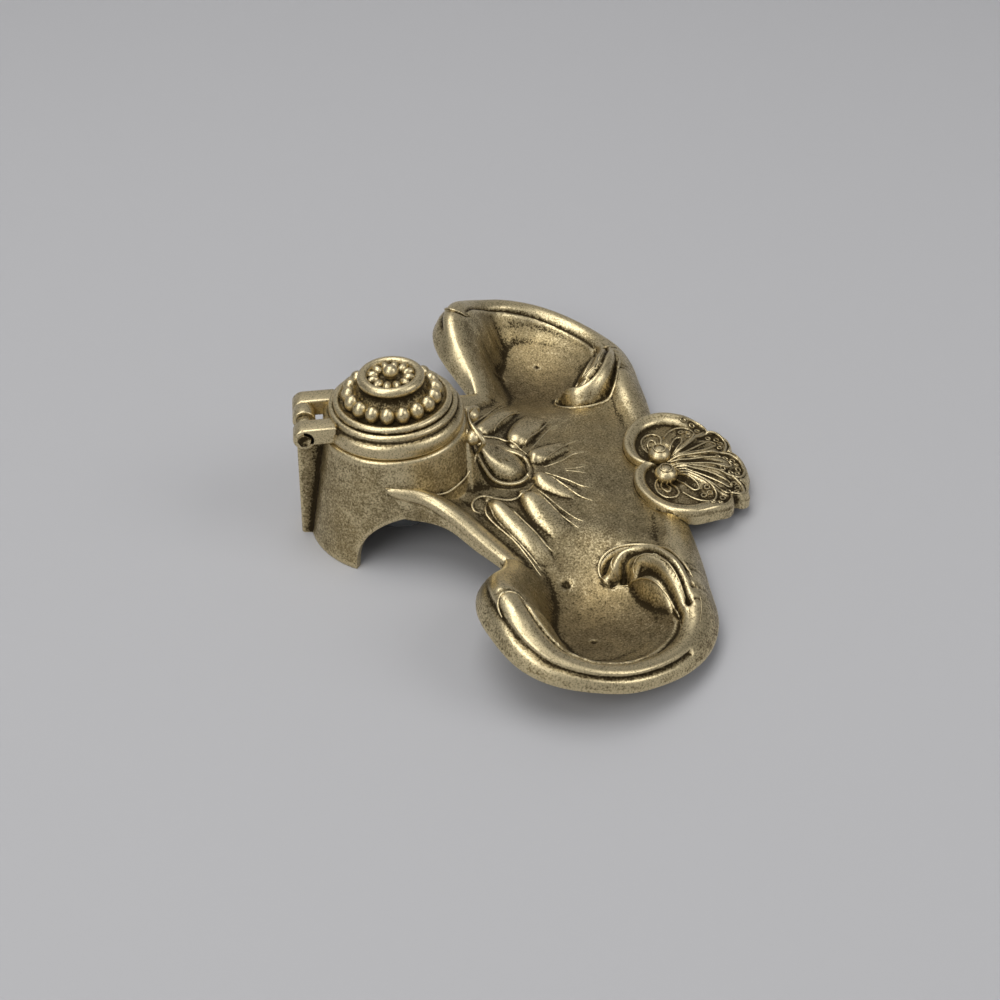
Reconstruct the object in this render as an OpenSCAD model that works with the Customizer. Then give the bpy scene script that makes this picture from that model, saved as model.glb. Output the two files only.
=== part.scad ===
// Desk inkstand: a cast brass tray with two scrolled bowls, a raised well housing with a
// domed, hinged lid over a loose ink pot, and a palmette shell at the front edge.
// Millimetres. +Z is up and z = 0 is the desk. X = 0 is the plane of symmetry, the hinge is
// at +Y and the shell at -Y. Shapes are drawn round the axis of the well, and place() then
// moves them so that the origin lies under the middle of the footprint.

/* [Well housing] */
// Height of the housing's rim above the desk
well_h = 40; // [36:0.5:46]
// Outer radius of the housing at its rim
well_r = 23.4; // [22:0.1:26]
// How much wider the skirt is at the desk than at the rim
skirt_flare = 7.6; // [5:0.1:10]
// Thickness of the cast wall
wall = 2.4; // [1.8:0.1:3]
// Length of the side arch along the desk, half of it
arch_half = 19.5; // [16:0.5:22]
// Height of the side arch
arch_h = 20.2; // [16:0.2:23]
// Middle of the arch, forward of the well axis
arch_forward = 3; // [1:0.5:6]

/* [Ink pot] */
// Outer radius of the glazed pot
pot_r = 18; // [15:0.1:19]
// Depth of the pot below its flange
pot_depth = 28.5; // [24:0.5:33]
// Thickness of the pot's wall
pot_wall = 2.2; // [1.6:0.1:3]
// Width of the flange that the pot hangs by
pot_flange = 1.7; // [1.2:0.1:2.2]
// Thickness of the flange
pot_flange_t = 1.6; // [1.2:0.1:2.2]
// How far the flange lies below the housing's rim
pot_sink = 2.8; // [2.6:0.1:4]
// Radial play between the pot and its hole
pot_play = 0.4; // [0.3:0.05:0.8]

/* [Lid] */
// Outer radius of the lid
lid_r = 23; // [21.5:0.1:24.5]
// Height of the lowest band
band_h = 5.8; // [4.6:0.1:7]
// Height of the crown above the band
dome_h = 10.8; // [9:0.2:12]
// Beads in the outer ring
outer_beads = 18; // [14:1:20]
// Radius of one outer bead
outer_bead_r = 2.1; // [1.6:0.05:2.3]
// Beads in the inner ring
inner_beads = 12; // [9:1:13]
// Radius of one inner bead
inner_bead_r = 1.5; // [1.1:0.05:1.6]
// Gap under the closed lid
lid_gap = 0.3; // [0.2:0.05:0.5]
// Radius of the button's head
button_r = 2.6; // [2:0.1:3]

/* [Hinge] */
// Distance of the hinge axis behind the well axis
hinge_y = 29; // [27.6:0.1:31]
// Outer radius of the lugs and the barrel
lug_r = 3.7; // [3:0.1:4]
// Half the width over both lugs
hinge_half = 11.5; // [10:0.5:13]
// Half the space between the lugs
barrel_half = 5; // [4:0.25:6]
// Radius of the hinge pin
pin_r = 1.6; // [1.2:0.1:1.9]
// Radial running play of the lugs on the pin
hinge_play = 0.06; // [0.04:0.01:0.1]
// Side play between each lug and the barrel
side_play = 0.15; // [0.1:0.05:0.3]
// Length of each peened pin head
pin_head = 0.8; // [0.5:0.1:1.2]

/* [Tray] */
// Bowl centre, sideways from the plane of symmetry
bowl_x = 64; // [62:0.5:66]
// Bowl centre, forward of the well axis
bowl_forward = 54; // [52:0.5:56]
// Radius of the hollow in each bowl
bowl_r = 36; // [30:0.5:38]
// Height of the bowl's floor above the desk
bowl_floor = 3; // [2.6:0.1:4]
// Height of the tray's floor between the bowls
mid_floor = 11.5; // [10:0.5:14]
// Height of the valley where the tray meets the well
valley_h = 21; // [19:0.5:24]
// Thickness of the tray
tray_t = 3; // [2.4:0.1:3.4]
// Thickness of the thin lower lip round the tray
lip_t = 0.9; // [0.7:0.1:1.4]

/* [Shell] */
// Middle of the shell, forward of the well axis
shell_forward = 92; // [90:0.5:94]
// Reach of the shell from its middle to its front lobe
shell_reach = 28.5; // [25:0.5:31]
// Half the width of the shell
shell_half = 31; // [27:0.5:33]
// Number of lobes round the shell's edge
shell_lobes = 9; // [7:2:13]
// Depth of each notch between two lobes
lobe_notch = 1.3; // [0.6:0.1:2]
// Depth of the flutes
flute_d = 0.9; // [0.4:0.1:1.4]
// Thickness of the shell's edge
shell_t = 3.2; // [2.4:0.1:4]

/* [Hidden] */
$fn = 64;

// The origin is the middle of the footprint, between the pillar's foot and the shell's front lobe
module place() { translate([0, (shell_forward + shell_reach - pillar_foot)/2, 0]) children(); }

function mix(a, b, t) = a + (b - a)*t;
function clamp01(t) = min(1, max(0, t));
function ease(t) = let (c = clamp01(t)) c*c*(3 - 2*c);
function smooth_max(a, b, k) = let (h = clamp01(0.5 + 0.5*(a - b)/k)) mix(b, a, h) + k*h*(1 - h);

// Curve through the given points, with n steps in each span
function curve_at(p, i, t) =
    let (a = p[max(0, i - 1)], b = p[i], c = p[i + 1], d = p[min(len(p) - 1, i + 2)])
    0.5*(2*b + (c - a)*t + (2*a - 5*b + 4*c - d)*t*t + (3*b - a - 3*c + d)*t*t*t);
function curve(p, n) =
    [for (i = [0 : len(p) - 2], k = [0 : n - 1]) curve_at(p, i, k/n), p[len(p) - 1]];

// Well housing
function wall_r(z) = well_r + skirt_flare*(1 - z/well_h);
seat_depth = pot_flange_t + pot_sink;
pot_hole_r = pot_r + pot_play;
seat_r = pot_r + pot_flange + pot_play;
seat_z = well_h - seat_depth;
plate_t = 2.2;

// Hinge
lid_z = well_h + lid_gap;
hinge_z = lid_z + 2.8;
pillar_half = barrel_half;
pillar_back = hinge_y + 2.8;
pillar_foot = wall_r(0) + 2.9;
collar_r = lug_r - 1;
collar_x = -0.8;

// Rim of the tray: [x, y, height of the crest, run to the outer edge, drop to the outer edge]
rail_crest = [
    [25, 5, 31.5, 2.2, 10], [26.2, -6, 29.5, 2.2, 9], [32, -15, 26, 2.2, 5.5],
    [38.8, -23.4, 20.5, 2.2, 4.4], [46, -31, 15.8, 2.2, 3.6]];
lobe_crest = [
    [46, -31, 15.8, 2.2, 3.6], [55, -30.5, 20, 4, 4.5], [66, -26.5, 27.5, 6.5, 7],
    [76, -25.5, 31.8, 7.2, 9], [85, -28.5, 31, 7.4, 9], [92.5, -33, 27, 7, 7.5],
    [98, -39, 23.3, 5.6, 6], [101.4, -48, 20.5, 4.4, 5], [101, -58, 18, 4.4, 5],
    [97.8, -66.5, 16, 4.6, 5], [91.8, -75, 14, 5.2, 5.4], [83, -82, 12.8, 6.4, 6],
    [72, -85.5, 14.2, 7.8, 8], [58, -85, 16, 9, 10], [45, -85.5, 15, 8.4, 7.5],
    [33, -86.5, 13, 7, 4], [16, -87, 11.5, 6, 2.5], [0, -87, 11, 6, 2]];
crest = concat(curve(rail_crest, 3), [for (i = [1 : 3*(len(lobe_crest) - 1)]) curve(lobe_crest, 3)[i]]);
crest_n = len(crest);

// Sideways direction that points out of the tray at a crest point
function crest_out(i) =
    let (a = crest[max(0, i - 1)], b = crest[min(crest_n - 1, i + 1)], d = [b[0] - a[0], b[1] - a[1]])
    [-d[1], d[0]]/norm(d);
function edge_xy(i) = [crest[i][0], crest[i][1]] + crest[i][3]*crest_out(i);

// Scroll that curls into the bowl from the front: [x, y, height, half width]
scroll = curve([
    [72, -84.5, 13.5, 6], [61, -81.5, 18, 6.6], [53.5, -78, 17.6, 6.6], [48.8, -73, 15.8, 6],
    [47.4, -68, 13.2, 4.6], [49.5, -63.5, 10.6, 3]], 3);

// Nearest place on a run of points: [distance, index, share of the segment, side]
function near_seg(q, a, b, i) =
    let (d = [b[0] - a[0], b[1] - a[1]], v = [q[0] - a[0], q[1] - a[1]],
         t = clamp01((v*d)/(d*d)), w = v - t*d)
    [norm(w), i, t, sign(d[0]*v[1] - d[1]*v[0])];
function nearest(q, p, i = 0, best = [1e9, 0, 0, 1]) =
    i > len(p) - 2 ? best
    : nearest(q, p, i + 1, let (s = near_seg(q, p[i], p[i + 1], i)) s[0] < best[0] ? s : best);

// Height of the tray's upper face
roll_r = 5;
roll_slope = 1.1;
function roll_drop(d) =
    let (knee = roll_r*roll_slope) d < knee ? d*d/(2*roll_r) : roll_slope*(d - knee/2);
function floor_h(q) =
    let (out = max(0, norm(q) - wall_r(valley_h)),
         bowl = norm([q[0] - bowl_x, q[1] + bowl_forward])/bowl_r,
         dip = bowl < 1 ? pow(1 - bowl*bowl, 2) : 0)
    mid_floor + (valley_h - mid_floor)*exp(-out/18) - (mid_floor - bowl_floor)*dip;
hood_half = 8;
hood_run = 9;
function hood_h(q) =
    let (run = max(0, -q[1] - well_r), side = max(0, q[0] - hood_half))
    13 + 25*exp(-run/hood_run) - 0.5*side*side;
function rim_h(s) =
    let (c = mix(crest[s[1]], crest[s[1] + 1], s[2]))
    s[3] > 0 ? c[2] - c[4]*pow(min(1, s[0]/c[3]), 2) : c[2] - roll_drop(s[0]);
function scroll_h(q) =
    let (s = nearest(q, scroll), c = mix(scroll[s[1]], scroll[s[1] + 1], s[2]), u = s[0]/c[3])
    c[2] - 5*u*u;
function leaf_h(q) =
    let (out = norm([q[0], q[1] + 30]), turn = atan2(q[0], -q[1] - 30),
         reach = ease((out - 13)/6)*(1 - ease((out - 20)/16)))
    1.6*reach*(0.5 + 0.5*cos(turn*9));
function body_h(q) = smooth_max(smooth_max(floor_h(q), hood_h(q), 3) + leaf_h(q), scroll_h(q), 1.2);
function tray_h(q) =
    let (s = nearest(q, crest))
    s[3] > 0 ? rim_h(s) : smooth_max(body_h(q), rim_h(s), 5);
function tray_low(q) =
    let (bowl = min(1, norm([q[0] - bowl_x, q[1] + bowl_forward])/bowl_r))
    max(0, tray_h(q) - tray_t*(1 + 0.35*(1 - bowl*bowl)));

// Plan outline of one half of the tray. Rows run in from it, first towards a point of each
// station's own and then to the hub, and how far in each row lies follows
hub = [42, -58];
aim_y = -57;
aim_share = 0.62;
function own_aim(b) = [min(60, max(18, 0.75*b[0] + 2)), aim_y];
steps_mid = 18;
steps_well = 14;
edge_n = crest_n;
mid_n = steps_mid;
front_y = edge_xy(crest_n - 1)[1];
tray_seam = 0.2;
well_front = well_reach(-90);
well_start = atan2(crest[0][1], crest[0][0]);
function seat_at(a, r) = wall_r(tray_h(r*[cos(a), sin(a)]) - tray_t) + tray_seam;
function well_reach(a) = seat_at(a, seat_at(a, seat_at(a, wall_r(valley_h))));
function half_point(j) =
    j < edge_n ? edge_xy(j)
    : j < edge_n + mid_n ? [0, mix(front_y, -well_front, ease((j - edge_n + 1)/mid_n))]
    : let (a = mix(-90, well_start, (j - edge_n - mid_n + 1)/(steps_well + 1))) well_reach(a)*[cos(a), sin(a)];
half_n = edge_n + mid_n + steps_well;
half = [for (j = [0 : half_n - 1]) half_point(j)];
rows = [0, 0.5, 1, 1.6, 2.4, 3.4];
inner_rows = 4;
row_n = len(rows) + inner_rows;
function row_point(j, i) =
    let (b = half[j], v = own_aim(b) - b, run = j < edge_n ? crest[j][3] : 2.4,
         last = rows[len(rows) - 1]*run/norm(v), k = i - len(rows) + 1, inner = b + aim_share*v)
    i < len(rows) ? b + rows[i]*run/norm(v)*v
    : k <= 2 ? mix(b + last*v, inner, k/2)
    : mix(inner, hub, (k - 2)/(inner_rows - 1));
function is_mid(j) = j >= edge_n - 1 && j < edge_n + mid_n;
function top_z(j, i) =
    i == 0 && j < edge_n ? crest[j][2] - crest[j][4] : tray_h(row_point(j, i));
function low_z(j, i) =
    i == 0 && j < edge_n ? top_z(j, i) - lip_t : min(top_z(j, i) - lip_t, tray_low(row_point(j, i)));
half_top = [for (j = [0 : half_n - 1], i = [0 : row_n - 1]) let (q = row_point(j, i)) [q[0], q[1], top_z(j, i)]];
half_low = [for (j = [0 : half_n - 1], i = [0 : row_n - 1]) let (q = row_point(j, i)) [q[0], q[1], low_z(j, i)]];
hub_pair = [[hub[0], hub[1], tray_h(hub)], [hub[0], hub[1], tray_low(hub)]];
function flip(p) = [for (q = p) [-q[0], q[1], q[2]]];
cells = half_n*row_n;
tray_points = concat(half_top, flip(half_top), half_low, flip(half_low), hub_pair, flip(hub_pair));

// Number of a grid point: side 0 is +X and 1 is -X, face 0 is the top and 1 the underside
function cell(side, face, j, i) =
    let (jj = (j + half_n) % half_n, s = i == 0 && is_mid(jj) ? 0 : side)
    i == row_n ? 4*cells + 2*side + face : (2*face + s)*cells + jj*row_n + i;
function tri(a, b, c, turned) = turned ? [a, c, b] : [a, b, c];
function quad(a, b, c, d, turned, across) =
    across ? [tri(a, b, d, turned), tri(b, c, d, turned)] : [tri(a, b, c, turned), tri(a, c, d, turned)];
function across(j, i) =
    let (k = (j + 1) % half_n)
    norm(row_point(k, i) - row_point(j, i + 1)) < norm(row_point(j, i) - row_point(k, i + 1));
tray_faces = [
    for (side = [0, 1], face = [0, 1], j = [0 : half_n - 1], i = [0 : row_n - 1])
        let (turned = side != face, a = cell(side, face, j, i), b = cell(side, face, j + 1, i),
             c = cell(side, face, j + 1, i + 1), d = cell(side, face, j, i + 1))
        each i == row_n - 1 ? [tri(a, b, c, turned)] : quad(a, b, c, d, turned, across(j, i)),
    for (side = [0, 1], j = [0 : half_n - 1]) if (!(is_mid(j) && is_mid((j + 1) % half_n)))
        let (turned = side == 0, a = cell(side, 0, j, 0), b = cell(side, 0, j + 1, 0),
             c = cell(side, 1, j + 1, 0), d = cell(side, 1, j, 0))
        each [tri(a, b, c, turned), tri(a, c, d, turned)]];

module tray() {
    place() color("darkkhaki") polyhedron(tray_points, tray_faces, convexity = 8);
}

// Round wall with a sloping skirt, a seat for the pot, two side arches and the hinge pillar
module outer_wall() {
    rotate_extrude()
        polygon([[0, 0], [wall_r(0), 0], [wall_r(well_h - 1), well_h - 1], [well_r - 0.7, well_h], [0, well_h]]);
}
module well_cavity() {
    ceiling = seat_z - plate_t;
    rotate_extrude()
        polygon([[0, -1], [wall_r(0) - wall, -1], [wall_r(0) - wall, 0], [wall_r(ceiling - 1.5) - wall, ceiling - 1.5],
                 [wall_r(ceiling) - wall - 1.5, ceiling], [0, ceiling]]);
    translate([0, 0, ceiling - 1]) cylinder(h = plate_t + 2, r = pot_hole_r);
    translate([0, 0, seat_z]) cylinder(h = seat_depth + 1, r = seat_r);
}
module side_arches() {
    reach = wall_r(0) + 1;
    translate([0, -arch_forward, 0]) rotate([0, 90, 0])
        linear_extrude(height = 2*reach, center = true)
            scale([arch_h/arch_half, 1]) circle(arch_half);
    translate([-reach, -reach, -1]) cube([2*reach, reach - arch_forward, arch_h + 1]);
}
module pillar() {
    rotate([90, 0, 90]) linear_extrude(height = 2*pillar_half, center = true)
        polygon([[wall_r(0) - wall, 0], [pillar_foot, 0], [pillar_back, well_h], [pillar_back, hinge_z],
                 [hinge_y - 2.6, hinge_z], [hinge_y - 2.6, well_h], [well_r - wall, well_h - 2]]);
}
module well_housing() {
    place() color("goldenrod") difference() {
        union() { outer_wall(); pillar(); barrel(); }
        well_cavity();
        side_arches();
        pin_bore();
    }
}
module barrel() {
    translate([collar_x, hinge_y, hinge_z]) rotate([0, 90, 0])
        cylinder(h = pillar_half - collar_x - side_play, r = lug_r);
    translate([side_play - pillar_half, hinge_y, hinge_z]) rotate([0, 90, 0])
        cylinder(h = pillar_half + collar_x, r = collar_r);
}
module pin_bore() {
    translate([-hinge_half, hinge_y, hinge_z]) rotate([0, 90, 0])
        cylinder(h = 2*hinge_half, r = pin_r);
}

// Palmette shell: lobed edge, two volutes at the back, flutes from two buttons
shell_c = [0, -shell_forward];
shell_steps = 90;
shell_seam = 0.4;
shell_lip = 0.9;
shell_rings = [1, 0.94, 0.84, 0.72, 0.58, 0.44, 0.3, 0.16];
lobe_turn = 176/shell_lobes;
function lobe(t) = abs(cos(180*t/lobe_turn));
function shell_edge(a) =
    let (t = abs(a), front = mix(shell_reach, shell_half, ease(t/80)), back = mix(shell_half, 17, ease((t - 88)/52)),
         notch = lobe_notch*(1 - lobe(t))*(1 - ease((t - 70)/18)))
    t < 88 ? front - notch : mix(back, 11.5, ease((t - 150)/30));
function shell_base(y) = let (d = max(0, -y - shell_forward)) mid_floor + 2.2 - 0.0105*d*d;
function shell_form(q, f, a) =
    let (t = abs(a), rim = 1.6*exp(-pow((f - 0.9)/0.1, 2)),
         volute = t > 95 ? 1.4*ease((t - 95)/20) : 0,
         flute = t < 95 ? flute_d*f*(1 - lobe(t)) : 0)
    shell_base(q[1]) + rim + volute*exp(-pow((f - 0.8)/0.25, 2)) - flute - (f > 0.97 ? 1.6 : 0);
function over_tray(q) = q[1] > front_y - 2;
function shell_bed(q) = over_tray(q) ? tray_h([abs(q[0]), q[1]]) + shell_seam : -1;
function shell_top(q, f, a) = max(shell_form(q, f, a), shell_bed(q) + shell_lip);
function shell_low(q, top) = min(top - shell_lip, max(top - shell_t, shell_bed(q)));
shell_pts = [for (a = [0 : shell_steps - 1], f = shell_rings)
    let (turn = 360*a/shell_steps, t = turn > 180 ? turn - 360 : turn,
         q = shell_c + f*shell_edge(t)*[sin(t), -cos(t)]) [q[0], q[1], shell_top(q, f, t)]];
module shell_mount() {
    ring_n = len(shell_rings);
    n = shell_steps*ring_n;
    top = shell_pts;
    low = [for (p = top) [p[0], p[1], shell_low([p[0], p[1]], p[2])]];
    mid_z = shell_top(shell_c, 0, 0);
    mid = [[shell_c[0], shell_c[1], mid_z], [shell_c[0], shell_c[1], shell_low(shell_c, mid_z)]];
    at = function (face, a, i) i == ring_n ? 2*n + face : face*n + (a % shell_steps)*ring_n + i;
    faces = [
        for (face = [0, 1], a = [0 : shell_steps - 1], i = [0 : ring_n - 1])
            let (p = at(face, a, i), q = at(face, a + 1, i), r = at(face, a + 1, i + 1), s = at(face, a, i + 1))
            each i == ring_n - 1 ? [tri(p, q, r, face == 0)] : [tri(p, q, r, face == 0), tri(p, r, s, face == 0)],
        for (a = [0 : shell_steps - 1])
            let (p = at(0, a, 0), q = at(0, a + 1, 0), r = at(1, a + 1, 0), s = at(1, a, 0))
            each [tri(p, q, r, false), tri(p, r, s, false)]];
    place() color("tan") polyhedron(concat(top, low, mid), faces, convexity = 6);
}

// Lid: turned profile, two rings of beads and two lugs
band_top = lid_z + band_h;
bead_ring_r = 14.4;
bead_z = band_top + 0.66*dome_h;
crown_z = band_top + dome_h;
crown_r = 10.3;
crown_t = 3.4;
crown_in = crown_z + 0.4 - crown_t;
module lid_profile() {
    b = band_top;
    difference() {
        union() {
            polygon([
                [0, lid_z], [lid_r - 0.7, lid_z], [lid_r, lid_z + 1.2], [lid_r, b - 2.2],
                [lid_r - 0.6, b - 0.8], [lid_r - 1.6, b], [lid_r - 1.9, b - 0.3], [lid_r - 2.3, b + 0.9],
                [lid_r - 2.8, b + 1.4], [lid_r - 3.4, b + 1.3], [lid_r - 3.5, b + 2.6], [lid_r - 4.6, b + 3.7],
                [lid_r - 5.9, b + 4.2], [lid_r - 6.8, b + 4], [13, b + 0.56*dome_h], [crown_r, b + 0.83*dome_h],
                [crown_r, crown_z], [7.4, crown_z], [4, crown_z + 0.4], [0, crown_z + 0.4]]);
            translate([crown_r - 0.4, crown_z]) circle(1.5, $fn = 24);
        }
        lid_hollow();
    }
}
module lid_hollow() {
    b = band_top;
    polygon([
        [0, lid_z - 1], [lid_r - 2.6, lid_z - 1], [lid_r - 2.6, b - 1.6], [lid_r - 6, b + 1.4], [12, b + 2.6],
        [7, crown_in - 0.6], [6, crown_in], [0, crown_in]]);
}
module bead_ring(count, ring_r, z, bead_r) {
    for (i = [0 : count - 1]) rotate(360*(i + 0.5)/count) translate([ring_r, 0, z]) sphere(bead_r, $fn = 24);
}
module lug(side) {
    inner = barrel_half;
    outer = hinge_half;
    x0 = side > 0 ? inner : -outer;
    difference() {
        union() {
            translate([x0, hinge_y, hinge_z]) rotate([0, 90, 0]) cylinder(h = outer - inner, r = lug_r);
            translate([x0, lid_r - 5, lid_z]) cube([outer - inner, hinge_y - lid_r + 5, hinge_z + lug_r - lid_z]);
        }
        translate([x0 - 1, hinge_y, hinge_z]) rotate([0, 90, 0])
            cylinder(h = outer - inner + 2, r = pin_r + hinge_play);
        translate([0, 0, lid_z - 1]) cylinder(h = 20, r = lid_r - 2);
    }
}
module lid() {
    place() color("darkgoldenrod") {
        difference() {
            union() {
                rotate_extrude() lid_profile();
                bead_ring(outer_beads, bead_ring_r, bead_z, outer_bead_r);
                bead_ring(inner_beads, 7.2, crown_z + 0.4, inner_bead_r);
                for (side = [-1, 1]) lug(side);
            }
            translate([0, 0, lid_z]) cylinder(h = 30, r = button_shank + 0.05);
            rotate_extrude() lid_hollow();
        }
    }
}

// Button at the top of the lid, its shank closed over below
button_shank = 1.5;
rivet_t = 1.4;
module lid_button() {
    z0 = crown_z + 0.4;
    r = button_shank;
    play = 0.05;
    place() color("gold") {
        rotate_extrude() polygon([
            [0, crown_in - rivet_t], [r + 1, crown_in - rivet_t], [r + 1, crown_in - play],
            [r, crown_in - play], [r, z0 + play], [button_r - 0.4, z0 + play],
            [button_r, z0 + 1.4], [button_r - 0.3, z0 + 2.7], [button_r - 1.1, z0 + 3.6], [0, z0 + 4]]);
    }
}

module hinge_pin() {
    place() color("peru") {
        translate([-hinge_half - side_play, hinge_y, hinge_z]) rotate([0, 90, 0])
            cylinder(h = 2*(hinge_half + side_play), r = pin_r);
        for (side = [0, 1]) translate([0, hinge_y, hinge_z]) mirror([side, 0, 0]) rotate([0, 90, 0])
            translate([0, 0, hinge_half + side_play]) cylinder(h = pin_head, r1 = pin_r + 0.6, r2 = pin_r);
    }
}

module ink_pot() {
    top = seat_z + pot_flange_t;
    base_r = 5;
    place() color("slategray") rotate_extrude() difference() {
        polygon(concat(
            [[0, top], [pot_r + pot_flange, top], [pot_r + pot_flange, seat_z], [pot_r, seat_z]],
            [for (a = [0 : -10 : -90]) [pot_r - base_r + base_r*cos(a), seat_z - pot_depth + base_r + base_r*sin(a)]],
            [[0, seat_z - pot_depth]]));
        polygon(concat(
            [[0, top + 1], [pot_r - pot_wall, top + 1]],
            [for (a = [0 : -10 : -90]) [pot_r - pot_wall - base_r + base_r*cos(a),
                                        seat_z - pot_depth + pot_wall + base_r + base_r*sin(a)]],
            [[0, seat_z - pot_depth + pot_wall]]));
    }
}

tray();
well_housing();
shell_mount();
lid();
lid_button();
hinge_pin();
ink_pot();
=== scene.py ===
import math

import bmesh
import bpy
import numpy as np
from mathutils import Matrix, Vector
from mathutils.geometry import delaunay_2d_cdt


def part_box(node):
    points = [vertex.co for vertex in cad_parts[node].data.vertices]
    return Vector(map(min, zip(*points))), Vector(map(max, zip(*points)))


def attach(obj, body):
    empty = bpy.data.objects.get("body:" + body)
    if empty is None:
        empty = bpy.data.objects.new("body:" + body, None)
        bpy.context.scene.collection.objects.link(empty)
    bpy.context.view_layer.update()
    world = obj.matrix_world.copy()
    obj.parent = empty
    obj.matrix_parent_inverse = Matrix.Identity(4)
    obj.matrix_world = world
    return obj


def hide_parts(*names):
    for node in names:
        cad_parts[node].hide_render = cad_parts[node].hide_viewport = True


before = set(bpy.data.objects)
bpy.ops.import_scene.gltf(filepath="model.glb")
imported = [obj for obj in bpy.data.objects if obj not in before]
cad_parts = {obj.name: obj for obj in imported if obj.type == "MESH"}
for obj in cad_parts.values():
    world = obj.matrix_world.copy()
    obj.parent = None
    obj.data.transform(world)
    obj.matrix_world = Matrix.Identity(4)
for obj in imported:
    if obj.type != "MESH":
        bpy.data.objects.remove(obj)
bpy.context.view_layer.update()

MM = 0.001


def middle(node):
    """Middle of a CAD node's box, in millimetres of the frame."""
    low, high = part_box(node)
    return (np.array(low) + np.array(high)) / 2 / MM


WELL_Y = middle("ink_pot")[1]
HINGE_Y = middle("hinge_pin")[1] - WELL_Y
HINGE_Z = middle("hinge_pin")[2]


def to_row(points):
    """Points in millimetres round the well axis, in the frame's metres."""
    p = np.array(points, float).reshape(-1, 3)
    p[:, 1] += WELL_Y
    return p * MM


def spoke(r, a):
    return r * math.cos(a), r * math.sin(a)


# Meshes

def face_outward(mesh):
    """Turns the faces of each closed piece outward."""
    bm = bmesh.new()
    bm.from_mesh(mesh)
    bmesh.ops.recalc_face_normals(bm, faces=list(bm.faces))
    bm.to_mesh(mesh)
    bm.free()
    mesh.update()


def new_mesh(name, points, faces, sharp=40.0):
    """An object from points in millimetres, shaded smooth apart from its sharp edges."""
    mesh = bpy.data.meshes.new(name)
    mesh.from_pydata(to_row(points).tolist(), [], [tuple(int(i) for i in f) for f in faces])
    face_outward(mesh)
    mesh.shade_smooth()
    mesh.set_sharp_from_angle(angle=math.radians(sharp))
    obj = bpy.data.objects.new(name, mesh)
    bpy.context.scene.collection.objects.link(obj)
    return obj


class Shape:
    """Collects closed pieces of one object: points, and faces that index them."""

    def __init__(self):
        self.points, self.faces, self.count = [], [], 0

    def add(self, points, faces):
        points = np.array(points, float).reshape(-1, 3)
        self.points.append(points)
        self.faces += [tuple(i + self.count for i in f) for f in faces]
        self.count += len(points)

    def build(self, name, sharp=40.0):
        return new_mesh(name, np.vstack(self.points), self.faces, sharp)


def grid_faces(rows, cols, close_rows=False, close_cols=False, flip=False):
    """Quads of a grid of points stored row by row."""
    out = []
    for i in range(rows if close_rows else rows - 1):
        for j in range(cols if close_cols else cols - 1):
            i2, j2 = (i + 1) % rows, (j + 1) % cols
            f = (i * cols + j, i * cols + j2, i2 * cols + j2, i2 * cols + j)
            out.append(f[::-1] if flip else f)
    return out


def curve(points, n):
    """Catmull-Rom curve through the points, with n steps in each span."""
    p = np.array(points, float)
    out = []
    for i in range(len(p) - 1):
        a, b, c, d = p[max(0, i - 1)], p[i], p[i + 1], p[min(len(p) - 1, i + 2)]
        for k in range(n):
            t = k / n
            out.append(0.5 * (2 * b + (c - a) * t + (2 * a - 5 * b + 4 * c - d) * t * t
                              + (3 * b - a - 3 * c + d) * t ** 3))
    out.append(p[-1])
    return np.array(out)


def lathe(profile, steps=160):
    """A closed turned solid: profile is a closed loop of (radius, height) that may touch the axis."""
    profile = np.array(profile, float)
    turn = np.linspace(0, 2 * math.pi, steps, endpoint=False)
    points, index = [], []
    for r, z in profile:
        if abs(r) < 1e-6:
            index.append([len(points)] * steps)
            points.append((0, 0, z))
        else:
            index.append(list(range(len(points), len(points) + steps)))
            points += [(*spoke(r, a), z) for a in turn]
    faces = []
    for i in range(len(profile)):
        a, b = index[i], index[(i + 1) % len(profile)]
        for j in range(steps):
            k = (j + 1) % steps
            f = list(dict.fromkeys((a[j], a[k], b[k], b[j])))
            if len(f) > 2:
                faces.append(tuple(f))
    return points, faces


def tube(line, radii, sides=8):
    """A closed tube along a line, with a radius for each point."""
    line = np.array(line, float)
    along = np.gradient(line, axis=0)
    along /= np.linalg.norm(along, axis=1)[:, None] + 1e-9
    side = np.cross(along, (0, 0, 1.0))
    side /= np.linalg.norm(side, axis=1)[:, None] + 1e-9
    up = np.cross(side, along)
    points = []
    for c, s, u, r in zip(line, side, up, radii):
        for k in range(sides):
            a = 2 * math.pi * k / sides
            points.append(c + r * (math.cos(a) * s + math.sin(a) * u))
    faces = grid_faces(len(line), sides, close_cols=True)
    faces.append(tuple(range(sides - 1, -1, -1)))
    faces.append(tuple((len(line) - 1) * sides + k for k in range(sides)))
    return points, faces


def ball(centre, size, turn=0.0, rows=12, cols=20):
    """A closed ellipsoid with half axes size, turned about the vertical."""
    points = [(0, 0, size[2])]
    for i in range(1, rows):
        a = math.pi * i / rows
        for j in range(cols):
            b = 2 * math.pi * j / cols
            points.append((size[0] * math.sin(a) * math.cos(b), size[1] * math.sin(a) * math.sin(b),
                           size[2] * math.cos(a)))
    points.append((0, 0, -size[2]))
    points = np.array(points)
    c, s = math.cos(turn), math.sin(turn)
    points = points @ np.array([(c, s, 0), (-s, c, 0), (0, 0, 1)]) + centre
    last = len(points) - 1
    faces = [(0, 1 + j, 1 + (j + 1) % cols) for j in range(cols)]
    for i in range(rows - 2):
        for j in range(cols):
            a, b = 1 + i * cols + j, 1 + i * cols + (j + 1) % cols
            faces.append((a, a + cols, b + cols, b))
    faces += [(last, last - cols + (j + 1) % cols, last - cols + j) for j in range(cols)]
    return points, faces


# Number helpers

BATCH = 6000


def clamp01(t):
    return np.clip(t, 0, 1)


def bell(d, width):
    return np.exp(-(d / width) ** 2)


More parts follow.
